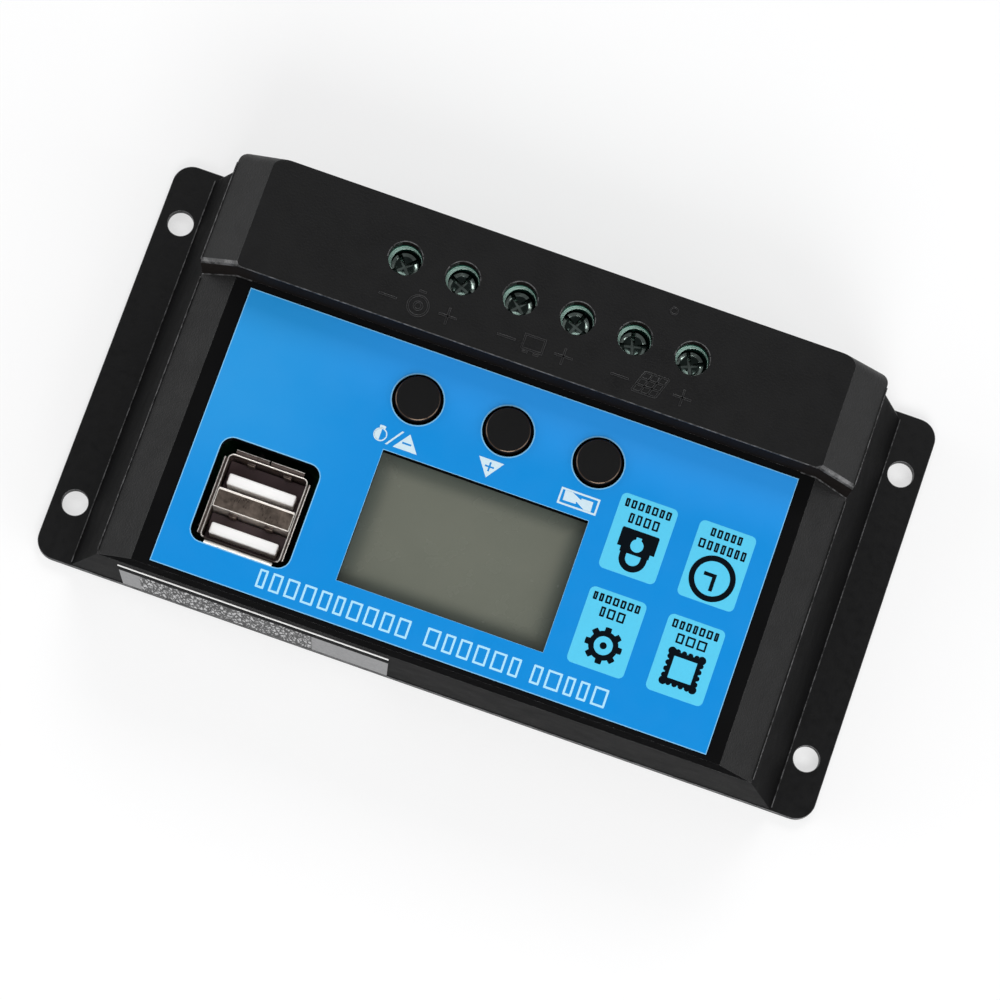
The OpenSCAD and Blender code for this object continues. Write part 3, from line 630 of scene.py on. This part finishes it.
def band_symbols():
    """Terminal symbols, raised a little from the roof of the band in the same plastic, with a painted
    highlight on their edges.
    """
    roof = span("cover")[1].z
    y, thick = -16.8, 0.36
    bm = bmesh.new()

    def mark(*outlines):
        flat_shape(bm, outlines, roof - 0.05, roof + 0.12, 0.06, edge_material=1)

    def bar(x0, y0, x1, y1):
        a, b = Vector((x0, y0)), Vector((x1, y1))
        side = (b - a).orthogonal().normalized() * thick / 2
        mark([tuple(a + side), tuple(a - side), tuple(b - side), tuple(b + side)])

    def minus(x):
        bar(x - 1.5, y, x + 1.5, y)

    def plus(x):
        minus(x)
        bar(x, y - 1.4, x, y + 1.4)

    minus(24.4)  # lamp: two rings and a cap
    mark(circle(19.4, y, 1.8), circle(19.4, y, 1.8 - thick))
    mark(circle(19.4, y, 0.8, 24), circle(19.4, y, 0.8 - thick, 24))
    bar(18.8, y - 2.4, 20.0, y - 2.4)
    plus(14.5)
    minus(4.8)  # battery: a frame with two poles
    mark(rectangle(-1.4, y - 1.6, 2.2, y + 1.0), rectangle(-1.05, y - 1.25, 1.85, y + 0.65))
    bar(-0.9, y + 1.3, 0.0, y + 1.3)
    bar(0.9, y + 1.3, 1.8, y + 1.3)
    plus(-4.6)
    minus(-13.9)  # panel: a leaning grid
    for i in range(4):
        bar(-21.4 + 1.3 * i, y - 2.0, -20.2 + 1.3 * i, y + 1.4)
        bar(-21.4 + 0.4 * i, y - 2.0 + 1.13 * i, -17.5 + 0.4 * i, y - 2.0 + 1.13 * i)
    plus(-24.2)
    mark(circle(-18.6, -29.6, 0.7, 24), circle(-18.6, -29.6, 0.42, 24))
    to_piece("band_symbols", bm, ["case_plastic", "mark_edge"])


# ---- Face label and its print ----

label_top = span("face_label")[1].z
INK = 0.02


def printed(name, shapes, material, layer=1):
    """Ink on the label: each shape is a list of outlines, and layer 2 lies on layer 1."""
    bm = bmesh.new()
    for outlines in shapes:
        flat_shape(bm, outlines, label_top - 0.01, label_top + INK * layer)
    to_piece(name, bm, [material])


def face_label():
    bm = node_mesh("face_label")
    soften(bm, 0.07, segments=1, edge_material=1)
    for face in bm.faces:
        if abs(face.normal.z) < 0.9:
            face.material_index = 1
    to_piece("face_label_finished", bm, ["blue_label", "label_edge"],
             replaced=["face_label"])
    bm = bmesh.new()

    def rim(outer, inner):
        flat_shape(bm, [outer, inner], label_top - 0.01, label_top + 0.012)

    low, high = span("face_label")
    wide = 0.14
    rim(rectangle(low.x, low.y, high.x, high.y),
        rectangle(low.x + wide, low.y + wide, high.x - wide, high.y - wide))
    for name in BUTTONS:
        x, y = middle("button_cap_" + name).xy
        rim(circle(x, y, 4.3), circle(x, y, 4.1))
    x, y = 33.15, 20.0  # the middle of the charging socket's cut-out
    rim(*(rectangle(x - w, y - h, x + w, y + h, r) for w, h, r in ((8.32, 8.82, 2.2), (8.15, 8.65, 2.0))))
    to_piece("label_rims", bm, ["label_edge"])


def rotated(points, angle, x, y):
    """Points turned by angle degrees round 0, 0 and then moved to x, y."""
    turn = Matrix.Rotation(math.radians(angle), 2)
    return [tuple(turn @ Vector(p) + Vector((x, y))) for p in points]


def placeholders(x, y, count, width, height, stroke, seed):
    """A row of small hollow boxes of uneven width, where the original has a word."""
    dice = random.Random(seed)
    gap = 0.26 * height
    shares = [dice.uniform(0.75, 1.25) for _ in range(count)]
    unit = (width - gap * (count - 1)) / sum(shares)
    shapes, left = [], x - width / 2
    for share in shares:
        right, half = left + share * unit, height / 2
        shapes.append([rectangle(left, y - half, right, y + half, 0.1, 3),
                       rectangle(left + stroke, y - half + stroke, right - stroke, y + half - stroke)])
        left = right + gap
    return shapes


def chip_pictogram():
    """A square chip frame, with round pins along its sides and round corners."""
    x, y, half, pin = -38.15, 22.75, 2.42, 0.42
    outline = []
    for quarter in range(4):
        side = arc(-half, half, 0.66, 235, 35, 14)
        for i in range(4):
            side += arc((i - 1.5) * 1.02, half + 0.12, pin, 180, 0, 8)
        outline += rotated(side, -90 * quarter, x, y)
    hole = rectangle(x - 1.9, y - 1.8, x + 1.9, y + 1.8)
    return [[outline, hole]]


def gear_pictogram():
    x, y, teeth = -25.3, 23.2, 8
    outline = []
    for i in range(teeth):
        a = 360 / teeth * i
        outline += arc(x, y, 2.98, a - 9.5, a + 9.5, 3)
        outline += arc(x, y, 2.35, a + 13, a + 360 / teeth - 13, 5)
    return [[outline, circle(x, y, 1.5)], [circle(x, y, 0.55, 24)]]


def clock_pictogram():
    x, y = -37.95, 7.5
    hands = [(-38.5, 9.5), (-37.9, 9.5), (-37.9, 7.3), (-36.45, 7.3), (-36.45, 6.7), (-38.5, 6.7)]
    return [[circle(x, y, 3.7, 64), circle(x, y, 2.8, 64)], [hands]]


def lock_pictogram():
    x, top, outer, inner, post = -25.2, 8.05, 2.22, 1.2, 0.6
    shackle = [(x + outer, top)] + arc(x, top + post, outer, 0, 180, 16) + [(x - outer, top)]
    shackle += [(x - inner, top)] + arc(x, top + post, inner, 180, 0, 12) + [(x + inner, top)]
    body = [(x - 2.85, 4.2), (x + 2.85, 4.2), (x + 3.05, 4.4), (x + 3.05, 7.3), (x + 2.4, 7.3),
            (x + 2.4, 8.1), (x - 2.4, 8.1), (x - 2.4, 7.3), (x - 3.05, 7.3), (x - 3.05, 4.4)]
    neck = math.degrees(math.asin(0.45 / 1.05))
    keyhole = [(x + 0.45, 5.2)] + arc(x, 6.55, 1.05, -90 + neck, 270 - neck, 20) + [(x - 0.45, 5.2)]
    return [[shackle], [body, keyhole]]


def white_marks():
    """Marks beside the buttons: battery, plus, minus and lamp."""
    frame_outline = [rectangle(-17.5, 1.5, -11.1, 4.2), rectangle(-17.2, 1.8, -11.4, 3.9)]
    stepped = [(-11.8, 1.83), (-13.02, 1.83), (-14.62, 2.58), (-14.62, 2.28), (-16.54, 2.23),
               (-16.6, 3.87), (-15.45, 3.87), (-13.98, 3.04), (-13.98, 3.42), (-11.87, 3.47)]
    cx, cy, arm, thick = 0.65, 2.35, 0.75, 0.14
    cross = []
    for quarter in range(4):
        cross += rotated(((thick, -thick), (arm, -thick), (arm, thick)), 90 * quarter, cx, cy)
    up = [(-1.4, 1.2), (2.75, 1.2), (0.65, 4.15)]
    down = [(12.0, 4.4), (16.0, 4.4), (14.0, 1.65)]
    dash = rectangle(13.3, 3.15, 14.8, 3.45)
    slash = [(15.0, 1.6), (15.35, 1.6), (17.3, 4.4), (16.95, 4.4)]
    ring = [circle(18.45, 3.2, 1.1, 40), circle(18.45, 3.2, 0.9, 40)]
    half = arc(18.45, 3.2, 0.93, -90, 90, 16)
    return [frame_outline, [stepped], [up, cross], [down, dash], [slash], ring, [half],
            [rectangle(17.95, 1.7, 18.95, 2.15, 0.15)]]


def label_print():
    """Four panels with their pictograms and captions, the marks by the buttons and the title."""
    half_x, half_y, corner = 4.65, 6.3, 0.9
    panels = [[rectangle(x - half_x, y - half_y, x + half_x, y + half_y, corner)]
              for x, y in ((-38.1, 21.0), (-25.15, 21.0), (-38.0, 5.3), (-25.05, 5.3))]
    printed("label_panels", panels, "cyan_ink")
    printed("label_pictograms", chip_pictogram() + gear_pictogram() + clock_pictogram() + lock_pictogram(),
            "dark_ink", 2)
    captions = []
    # The middle of each row, its number of boxes, its length and its height
    words = ((-38.1, 18.15, 3, 4.9, 1.6), (-38.1, 16.05, 7, 7.5, 1.35), (-25.1, 18.15, 3, 4.0, 1.6),
             (-25.1, 16.05, 7, 7.6, 1.3), (-38.0, 2.6, 7, 7.7, 1.5), (-38.0, 0.4, 5, 5.1, 1.35),
             (-25.05, 2.6, 4, 4.9, 1.6), (-25.05, 0.4, 7, 7.5, 1.35))
    for seed, (x, y, count, long, tall) in enumerate(words):
        captions += placeholders(x, y, count, long, tall, 0.29, seed)
    printed("label_captions", captions, "dark_ink", 2)
    printed("label_marks", white_marks(), "white_ink")
    title = []
    for seed, (x0, x1, count) in enumerate(((3.9, 28.8, 10), (-14.2, 1.2, 6), (-28.5, -16.2, 5))):
        title += placeholders((x0 + x1) / 2, 31.0, count, x1 - x0, 3.0, 0.34, seed + 20)
    printed("label_title", title, "pale_ink")


# ---- Display, buttons ----

def display():
    refine("lcd_polarisers", 0.05, "display_film")
    refine("lcd_cell", 0.2, "display_glass")
    refine("lcd_backlight", 0.3, "light_guide")
    refine("lcd_pins", 0.05, "tinned_metal")


def button(name):
    """A cap with a soft rim and a shallow dish on top, on its wider flange."""
    cap = "button_cap_" + name
    low, high = span(cap)
    centre = (low + high) / 2
    radius, flange_r = 3.55, (high.x - low.x) / 2
    flange_low, flange_high = low.z + 0.2, low.z + 1.6
    edge, facet, slope = 0.14, 0.09, math.radians(30)
    rim = arc(radius - edge, high.z - edge - 0.06, edge, 0, 62, 5)
    rim.append((rim[-1][0] - facet, rim[-1][1] + facet * math.tan(slope)))
    profile = [(0, low.z), (radius - 0.2, low.z), (radius, flange_low), (flange_r, flange_low),
               (flange_r, flange_high - 0.15), (flange_r - 0.15, flange_high), (radius, flange_high)]
    top = rim[-1][1]
    profile += rim + [(2.6, top - 0.02), (1.4, top - 0.06), (0, top - 0.08)]
    bm = bmesh.new()
    spun(bm, profile, centre.x, centre.y, 96)
    # The rim's faces carry the painted highlight.
    for face in bm.faces:
        spot = face.calc_center_median()
        if (spot.xy - centre.xy).length > rim[-1][0] and spot.z > rim[2][1]:
            face.material_index = 1
    to_piece(cap + "_finished", bm, ["button_plastic", "button_rim"],
             "button_" + name, [cap], sharp=18)
    refine("switch_stem_" + name, 0.15, "stem_plastic", body="button_" + name)


# ---- Charging socket ----

# BRIGHT faces carry a painted highlight, DARK faces painted shade.
SOCKET_MATERIALS = ["socket_shell", "socket_edge", "socket_shade"]
SHELL, BRIGHT, DARK = range(len(SOCKET_MATERIALS))


def lip(bm, start, end, outward, z, flare_material=DARK, reach=1.0):
    """A flared strip of the socket's mouth, bent outward along the edge from start to end."""
    bend = ((-0.1, -1.0), (-0.08, -0.45), (0.08, -0.12), (0.34, 0.12), (0.66, 0.24))
    path = [Vector((s * reach, h)) for s, h in bend]
    thick = 0.09
    sides = [[], []]
    for i, point in enumerate(path):
        along = (path[min(i + 1, len(path) - 1)] - path[max(i - 1, 0)]).normalized()
        across = Vector((-along.y, along.x)) * thick
        sides[0].append(point + across)
        sides[1].append(point - across)
    tip = path[-1] + Vector((0.09, 0.02))
    section = sides[0] + [tip + Vector((-0.02, 0.06)), tip + Vector((-0.01, -0.05))] + sides[1][::-1]
    rings = [[bm.verts.new((x + outward[0] * s, y + outward[1] * s, z + h)) for s, h in section]
             for x, y in (start, end)]
    count, flare = len(section), len(path) - 1
    for i in range(count):
        j = (i + 1) % count
        face = bm.faces.new((rings[0][i], rings[0][j], rings[1][j], rings[1][i]))
        # Painted shade at the foot of the flare, a painted highlight on its tip, underside and ends.
        face.material_index = BRIGHT if i >= flare else DARK if i < 2 else flare_material
    bm.faces.new(rings[0]).material_index = BRIGHT
    bm.faces.new(rings[1][::-1]).material_index = BRIGHT


def socket_shell():
    """Folded shell with flared lips round the mouth, a bridge between the ports and spring tabs."""
    low, high = span("usb_shell")
    wall, corner, mouth = 0.2, 0.9, high.z - 0.35
    bm = bmesh.new()
    outer = rectangle(low.x, low.y, high.x, high.y, corner)
    inner = rectangle(low.x + wall, low.y + wall, high.x - wall, high.y - wall, corner - wall)
    flat_shape(bm, [outer, inner], low.z, mouth, 0.05)
    # The top of the wall: painted shade on the +Y side, a painted highlight elsewhere.
    for face in bm.faces:
        spot = face.calc_center_median()
        if spot.z > mouth - 0.06:
            face.material_index = DARK if spot.y > high.y - wall else BRIGHT
    x0, x1, centre, half_gap = low.x + 1.0, high.x - 1.0, (low.x + high.x) / 2, 0.12
    # The +Y lip's flare is a painted highlight.
    lip(bm, (x0, high.y + 0.1), (x1, high.y + 0.1), (0, 1), mouth, BRIGHT, reach=0.95)
    lip(bm, (x0, low.y), (centre - half_gap, low.y), (0, -1), mouth)
    lip(bm, (centre + half_gap, low.y), (x1, low.y), (0, -1), mouth)
    for x, side in ((low.x, -1), (high.x, 1)):
        lip(bm, (x, low.y + 0.85), (x, high.y - 0.55), (side, 0), mouth, reach=0.6)
    bridge_low, bridge_high, foot, top = 19.25, 22.5, low.z + 4, high.z - 0.15
    x0, x1 = low.x + wall + 0.1, high.x - wall - 0.1
    block(bm, (x0, bridge_low + 0.3, foot), (x1, bridge_high - 0.1, top - 0.14), 0.1, SHELL)
    # The bridge's edge strips are painted highlights.
    block(bm, (x0, bridge_low, foot), (x1, bridge_low + 0.42, top), 0.2, BRIGHT, 4)
    block(bm, (x0, bridge_high - 0.17, foot), (x1, bridge_high, top), 0.07, BRIGHT, 3)
    for x in (x0, x1 - 0.14):
        block(bm, (x, bridge_low + 0.3, top - 2), (x + 0.14, bridge_high, top - 0.03), 0.05, BRIGHT)
    for x in (29.97, 35.95):  # two springs in each port
        for y in (bridge_high - 0.1, low.y + wall - 0.1):
            # The outer block of each spring is painted shade.
            block(bm, (x - 0.75, y, high.z - 6), (x + 0.75, y + 0.45, high.z - 1.6), 0.2, DARK, 3)
            block(bm, (x - 0.62, y + 0.38, high.z - 4.8), (x + 0.62, y + 0.58, high.z - 1.9), 0.07, SHELL)
    to_piece("usb_shell_finished", bm, SOCKET_MATERIALS, replaced=["usb_shell"])


def socket_tongues():
    """The two tongues, their contacts, and the dark floor of each port."""
    low, high = span("usb_tongues")
    thick = 1.84
    bm = bmesh.new()
    for y0 in (low.y, high.y - thick):
        block(bm, (low.x, y0, low.z), (high.x, y0 + thick, high.z), 0.28, segments=4)
    to_piece("usb_tongues_finished", bm, ["white_moulding"], replaced=["usb_tongues"])
    shell_low, shell_high = span("usb_shell")
    floor_z, gap = 23.4, 0.35
    bm = bmesh.new()
    for y0, y1 in ((shell_low.y + gap, 19.1), (22.7, shell_high.y - gap)):
        block(bm, (shell_low.x + gap, y0, floor_z - 0.6), (shell_high.x - gap, y1, floor_z), 0.1)
    to_piece("socket_floors", bm, ["socket_backing"])
    refine("usb_contacts", 0.06, "contact_metal")
    refine("usb_base", 0.15, "dark_moulding")


# ---- Terminals ----

def screw(terminal):
    """A dished head with a cross recess, over its threaded shank, with a painted highlight on the head's
    rim and on the floor of the recess.
    """
    node = "screw_" + terminal
    low, high = span(node)
    centre, top = (low + high) / 2, high.z
    head_r, head_z, rim_width = 2.3, 28.2, 0.7
    shank_r, thread_depth, turns, pitch = 1.75, 0.22, 11, 0.6
    profile = [(0, low.z), (shank_r - 0.35, low.z), (shank_r, low.z + 0.35)]
    for i in range(turns):
        z = low.z + 0.5 + pitch * i
        profile += [(shank_r - thread_depth, z), (shank_r, z + pitch / 2)]
    profile += [(shank_r - 0.1, head_z), (head_r - 0.1, head_z), (head_r, head_z + 0.12)]
    profile += [(head_r, top - 0.35), (head_r - 0.06, top - 0.12), (head_r - 0.18, top),
                (head_r - 0.28, top - 0.02), (head_r - rim_width, top - 0.155)]
    profile += [(1.4, top - 0.24), (0.6, top - 0.28), (0, top - 0.28)]
    bm = bmesh.new()
    spun(bm, profile, centre.x, centre.y, 72)
    # Painted highlight on the rim of the head.
    for face in bm.faces:
        spot = face.calc_center_median()
        if spot.z > top - 0.4 and (spot.xy - centre.xy).length > head_r - rim_width:
            face.material_index = 1
    body = to_piece(node + "_finished", bm, ["steel_screw", "bright_steel"], node, [node])
    turned = random.Random(node).uniform(10, 80)
    half_long, half_wide, depth = 2.6, 0.42, 0.9
    cutter, cross = bmesh.new(), bmesh.new()
    for quarter in (0, 1):
        angle = math.radians(90 * quarter + turned)
        first = len(cutter.verts)
        block(cutter, (-half_long, -half_wide, top - depth), (half_long, half_wide, top + 0.6))
        cutter.verts.ensure_lookup_table()
        bar = cutter.verts[first:]
        for vert in bar:
            if vert.co.z < top:
                vert.co.x *= 0.95
                vert.co.y *= 0.6
        bmesh.ops.rotate(cutter, verts=bar, matrix=Matrix.Rotation(angle, 3, "Z"))
        bmesh.ops.translate(cutter, verts=bar, vec=(centre.x, centre.y, 0))
        along = Vector((math.cos(angle), math.sin(angle))) * 1.35
        side = along.orthogonal() * 0.2
        corners = [centre.xy + along + side, centre.xy - along + side, centre.xy - along - side,
                   centre.xy + along - side]
        # The floor of the recess, in bright_steel: a painted highlight.
        floor = top - depth - 0.03
        flat_shape(cross, [[tuple(c) for c in corners]], floor, floor + 0.16 + 0.03 * quarter, 0.05)
    cut(body, cutter)
    to_piece(node + "_recess", cross, ["bright_steel"], node)


def cut(piece, cutter):
    """Takes the cutter, a mesh in millimetres, out of a finished piece."""
    bmesh.ops.recalc_face_normals(cutter, faces=cutter.faces)
    bmesh.ops.scale(cutter, vec=(MM, MM, MM), verts=cutter.verts)
    mesh = new_mesh("cutter", cutter)
    tool = new_object("cutter", mesh)
    boolean = piece.modifiers.new("cut", "BOOLEAN")
    boolean.object = tool
    boolean.solver = "EXACT"
    boolean.use_self = True
    piece.modifiers.remove(piece.modifiers["even_normals"])
    result = worked_out(piece)
    piece.modifiers.clear()
    old = piece.data
    piece.data = result
    bpy.data.meshes.remove(old)
    bpy.data.objects.remove(tool)
    bpy.data.meshes.remove(mesh)
    bm = bmesh.new()
    bm.from_mesh(piece.data)
    mark_sharp(bm)
    bm.to_mesh(piece.data)
    bm.free()
    piece.modifiers.new("even_normals", "WEIGHTED_NORMAL").keep_sharp = True


def terminal_block(circuit):
    """A two-pole block with ribs on its front, painted shade on its bore walls, and a pale ledge, wider to
    one side, in each screw bore, as a painted highlight.
    """
    node = "terminal_block_" + circuit
    low, high = span(node)
    bores = [middle("screw_" + t).xy for t in TERMINALS if t.startswith(circuit)]
    plain, bore, rim = 0, 1, 2
    bore_r, bore_foot = 2.85, 24
    bm = node_mesh(node)
    soften(bm, 0.34, edge_material=rim)
    bm.normal_update()
    # Bore walls get painted shade and the rounded rims of the bores a painted highlight.
    for face in bm.faces:
        spot = face.calc_center_median()
        if spot.z > bore_foot and any((spot.xy - centre).length < bore_r for centre in bores):
            if abs(face.normal.z) < 0.25:
                face.material_index = bore
        elif face.material_index == rim:
            face.material_index = plain
    to_piece(node + "_finished", bm, ["green_block", "green_bore", "green_lip"],
             replaced=[node])
    front, mid = low.y, (low.x + high.x) / 2
    bm = bmesh.new()
    block(bm, (mid - 0.35, front - 0.3, low.z + 0.4), (mid + 0.35, front + 0.1, high.z - 0.5), 0.12)
    for x in (low.x + 0.2, high.x - 0.5):
        block(bm, (x, front - 0.3, low.z + 0.4), (x + 0.3, front + 0.1, high.z - 0.5), 0.1)
    block(bm, (low.x + 0.2, front - 0.45, 21.4), (high.x - 0.2, front + 0.1, 22.2), 0.15)
    for x, _ in bores:
        block(bm, (x - 1.1, front - 0.18, 24.2), (x + 1.1, front + 0.1, 29.6), 0.15)
    to_piece(node + "_ribs", bm, ["green_block"])
    # The pale ledges are a painted highlight.
    bm = bmesh.new()
    for x, y in bores:
        flat_shape(bm, [circle(x, y, 2.72), circle(x - 0.22, y, 2.44)], high.z - 0.6, high.z - 0.34)
    to_piece(node + "_guides", bm, ["green_lip"])


def terminals():
    for circuit in CIRCUITS:
        terminal_block(circuit)
    for terminal in TERMINALS:
        screw(terminal)
        refine("clamp_" + terminal, 0.18, "tinned_metal", body="clamp_" + terminal)
    refine("contact_bars", 0.15, "contact_metal")


# ---- Front sticker ----

def front_sticker():
    """The silver film, a dark stripe over its upper part and a white line along its top edge."""
    low, high = span("front_sticker")
    face, top = high.y, high.z
    bm = bmesh.new()
    block(bm, (low.x, low.y, low.z), (high.x, high.y, top - 0.25), 0.05)
    to_piece("front_sticker_finished", bm, ["silver_sticker"],
             replaced=["front_sticker"])
    bm = bmesh.new()
    block(bm, (low.x, face - 0.1, top - 3.9), (high.x, face + 0.03, top - 0.55), 0.02)
    to_piece("sticker_stripe", bm, ["case_side"])
    bm = bmesh.new()
    block(bm, (low.x, face - 0.12, top - 0.55), (high.x, face + 0.05, top), 0.04)
    to_piece("sticker_edge", bm, ["white_moulding"])


# ---- Case screws and the parts inside ----

# Parts that keep their own shape, and the radius of their edges
SIMPLE_PARTS = {
    "case_screws": 0.12, "main_board": 0.1, "display_board": 0.1, "display_screws": 0.1,
    "header_strips": 0.1, "header_pins": 0.05, "switch_bodies": 0.2, "switch_legs": 0.08, "mosfets": 0.2,
    "mosfet_tabs": 0.1, "heat_bar": 0.3, "thermal_pad": 0.08, "capacitors": 0.5, "capacitor_tops": 0.1,
    "inductor_core": 0.3, "inductor_winding": 0.3, "microcontroller": 0.15, "power_chip": 0.15,
    "diode": 0.2, "shunt": 0.15,
}


def simple_parts():
    for node, radius in SIMPLE_PARTS.items():
        refine(node, radius, "black_zinc" if node == "case_screws" else SLOTS[node])


# ---- Camera, light and floor ----

def aim(thing, place, target, roll=0.0):
    """Puts a camera or light at place, facing target, with its top turned roll degrees from +Y."""
    forward = (Vector(target) - Vector(place)).normalized()
    up = Vector((0, 1, 0))
    up = (up - up.dot(forward) * forward).normalized()
    up = Matrix.Rotation(math.radians(roll), 3, forward) @ up
    right = forward.cross(up)
    turn = Matrix((right, up, -forward)).transposed()
    thing.matrix_world = Matrix.Translation(place) @ turn.to_4x4()


def camera():
    """The photo's camera, fitted to the plate, its holes and the edges of the case."""
    data = bpy.data.cameras.new("camera")
    data.lens = 132.6
    data.sensor_width = 36
    data.clip_start = 0.01
    eye = new_object("camera", data)
    aim(eye, (-0.0133, 0.1204, 0.5928), (-0.0021, 0.0010, 0.0), 160.52)
    bpy.context.scene.camera = eye


def softbox(name, place, size, power):
    data = bpy.data.lights.new(name, "AREA")
    data.shape = "RECTANGLE"
    data.size, data.size_y = size
    data.energy = power
    aim(new_object(name, data), place, (0, 0, 0.015))


def studio():
    """Four soft boxes round the object, a darker ceiling and a pale floor."""
    softbox("box_left", (1.0, 0.1, 0.75), (0.9, 0.7), 3.9)
    softbox("box_right", (-1.0, 0.25, 0.75), (0.9, 0.7), 4.6)
    softbox("box_front", (-0.35, 0.9, 0.95), (0.8, 0.6), 8.8)
    softbox("box_back", (0.05, -0.85, 0.95), (0.7, 0.5), 3.8)
    world = bpy.data.worlds.new("studio")
    world.use_nodes = True
    bpy.context.scene.world = world
    tree = world.node_tree
    back = tree.nodes["Background"]
    place = tree.nodes.new("ShaderNodeTexCoord")
    split = tree.nodes.new("ShaderNodeSeparateXYZ")
    ramp = tree.nodes.new("ShaderNodeValToRGB")
    tree.links.new(place.outputs["Generated"], split.inputs[0])
    tree.links.new(split.outputs["Z"], ramp.inputs[0])
    tree.links.new(ramp.outputs[0], back.inputs[0])
    low, high = ramp.color_ramp.elements
    low.position, low.color = 0.25, (0.95, 0.96, 0.97, 1)
    high.position, high.color = 0.85, (0.11, 0.11, 0.114, 1)
    back.inputs[1].default_value = 0.8
    bm = bmesh.new()
    bmesh.ops.create_grid(bm, x_segments=24, y_segments=24, size=3.0)
    floor = new_object("floor", new_mesh("floor", bm))
    floor.location.z = -0.4 * MM
    paint = Paint("floor", (0.38, 0.38, 0.38), 0.8, Emission_Color=(1, 1, 1, 1), Emission_Strength=0.6)
    paint.tint(paint.between(paint.noise(300, detail=2), 0.3, 0.8, 0, 0.3), (0.365, 0.365, 0.37))
    floor.data.materials.append(paint.done())
    bpy.context.scene.view_settings.view_transform = "Standard"


# ---- The whole object ----

camera()
studio()
case_parts()
beads()
band_symbols()
face_label()
label_print()
display()
for name in BUTTONS:
    button(name)
socket_shell()
socket_tongues()
terminals()
front_sticker()
simple_parts()
